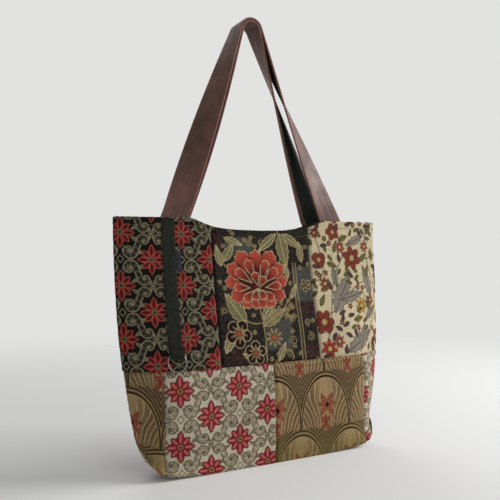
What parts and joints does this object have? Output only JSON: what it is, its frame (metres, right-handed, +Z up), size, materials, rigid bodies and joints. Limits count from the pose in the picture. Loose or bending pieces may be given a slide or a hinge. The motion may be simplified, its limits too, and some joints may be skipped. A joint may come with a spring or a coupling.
{
  "type": "patchwork shoulder bag",
  "caption": "Soft patchwork shoulder bag of woven furnishing cloth, with long tape-backed leather handles brought together over a peg and a key ring swinging in a ribbon loop.",
  "frame": {"origin": "middle of the bag's box, on the level of its flat base", "axes": "+Z up from the base to the top of the handles, +X along the mouth to the right as the bag is seen from the front, +Y from the front to the flat back"},
  "size_m": [0.4, 0.0684, 0.5849],
  "materials": {
    "dark_star_cloth": "woven jacquard, matt",
    "rose_cloth": "woven tapestry, matt",
    "vine_cloth": "woven jacquard, matt",
    "arch_cloth": "woven chenille, matt",
    "cream_star_cloth": "woven jacquard, matt",
    "facing_cloth": "plain weave, matt",
    "lining_cloth": "plain weave, matt",
    "handle_tape": "ribbed webbing, matt",
    "key_ribbon_weave": "ribbed ribbon, matt",
    "tab_weave": "woven tab, matt",
    "handle_leather": "worn, satin",
    "ring_steel": "dull plated wire"
  },
  "bodies": {
    "bag": {"dark_star_patch_left": "dark_star_cloth", "rose_patch_front": "rose_cloth", "vine_patch_right": "vine_cloth", "dark_star_patch_back": "dark_star_cloth", "rose_patch_back": "rose_cloth", "arch_patch_left": "arch_cloth", "cream_star_patch_front": "cream_star_cloth", "arch_patch_front": "arch_cloth", "cream_star_patch_right": "cream_star_cloth", "arch_patch_back": "arch_cloth", "cream_star_patch_back": "cream_star_cloth", "rim_facing": "facing_cloth", "lining_front": "lining_cloth", "lining_back": "lining_cloth", "front_handle_leather": "handle_leather", "front_handle_tape": "handle_tape", "back_handle_leather": "handle_leather", "back_handle_tape": "handle_tape", "key_ribbon": "key_ribbon_weave", "bare_tab": "tab_weave"},
    "ring": {"key_ring": "ring_steel"}
  },
  "joints": [
    {"name": "ring_swing", "type": "hinge", "parent": "bag", "child": "ring", "pos_m": [-0.13384, -0.0224, 0.15105], "axis": [-0.9915, 0.1301, 0], "range_deg": [0, 95]}
  ]
}
